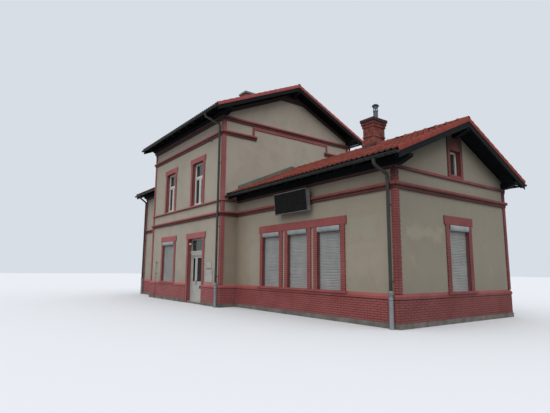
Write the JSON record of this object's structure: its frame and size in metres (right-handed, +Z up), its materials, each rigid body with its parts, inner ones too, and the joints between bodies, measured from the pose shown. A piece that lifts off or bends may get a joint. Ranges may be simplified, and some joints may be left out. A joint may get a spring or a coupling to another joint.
{
  "type": "rural railway station building",
  "caption": "Railway station building: two-storey tiled main block between two gabled wings, rendered walls with brick trims, shuttered windows, double entrance door.",
  "frame": {"origin": "at ground level in the middle of the plan's bounding box: under the ridges, midway between the end verges", "axes": "+X along the street front towards the near wing, +Y from the street front to the rear, +Z up"},
  "size_m": [21.9, 9.58, 12.2326],
  "materials": {
    "wall_render": "matte",
    "red_brick": "matte",
    "concrete": "matte",
    "roof_timber": "matte",
    "floor_timber": "matte",
    "roof_tile": "matte",
    "sheet_metal": "satin",
    "standpipe_grey": "satin",
    "shutter_grey": "satin",
    "white_paint": "satin",
    "window_pane": "gloss",
    "flue_steel": "satin",
    "handle_steel": "satin",
    "sign_black": "gloss",
    "lamp_white": "satin",
    "fitting_steel": "satin"
  },
  "bodies": {
    "building": {"ground_floors": "concrete", "upper_floors": "floor_timber", "concrete_base": "concrete", "main_front_wall_sides": "wall_render", "main_front_wall_over": "wall_render", "main_back_wall": "wall_render", "main_gable_walls": "wall_render", "wing_front_walls": "wall_render", "wing_back_walls": "wall_render", "wing_gable_sides": "wall_render", "wing_gable_tops": "wall_render", "window_aprons": "wall_render", "brick_plinth": "red_brick", "plinth_cap": "red_brick", "main_cornice": "red_brick", "string_courses": "red_brick", "upper_cornices": "red_brick", "corner_pilasters": "red_brick", "opening_surrounds": "red_brick", "window_sills": "red_brick", "roof_decks": "roof_timber", "roof_tiles": "roof_tile", "ridge_tiles": "roof_tile", "verge_boards": "roof_timber", "purlins": "roof_timber", "roof_flashings": "sheet_metal", "gutters": "sheet_metal", "swan_necks": "sheet_metal", "downpipes": "sheet_metal", "standpipes": "standpipe_grey", "chimneys": "red_brick", "chimney_flue": "flue_steel", "shutter_curtains": "shutter_grey", "shutter_housings": "shutter_grey", "window_frames": "white_paint", "window_glass": "window_pane", "door_frame": "white_paint", "rear_door": "white_paint", "sign_boards": "sign_black", "door_lamp": "lamp_white", "wall_insulator": "fitting_steel", "lightning_conductor": "fitting_steel"},
    "narrow_door": {"narrow_leaf": "white_paint", "narrow_leaf_glass": "window_pane"},
    "wide_door": {"wide_leaf": "white_paint", "wide_leaf_glass": "window_pane", "door_handle": "handle_steel"}
  },
  "joints": [
    {"name": "narrow_leaf_hinge", "type": "hinge", "parent": "building", "child": "narrow_door", "pos_m": [-1.6745, -3.751, 1.16], "axis": [0, 0, 1], "range_deg": [0, 90]},
    {"name": "wide_leaf_hinge", "type": "hinge", "parent": "building", "child": "wide_door", "pos_m": [-0.2855, -3.751, 1.16], "axis": [0, 0, -1], "range_deg": [0, 90]}
  ]
}
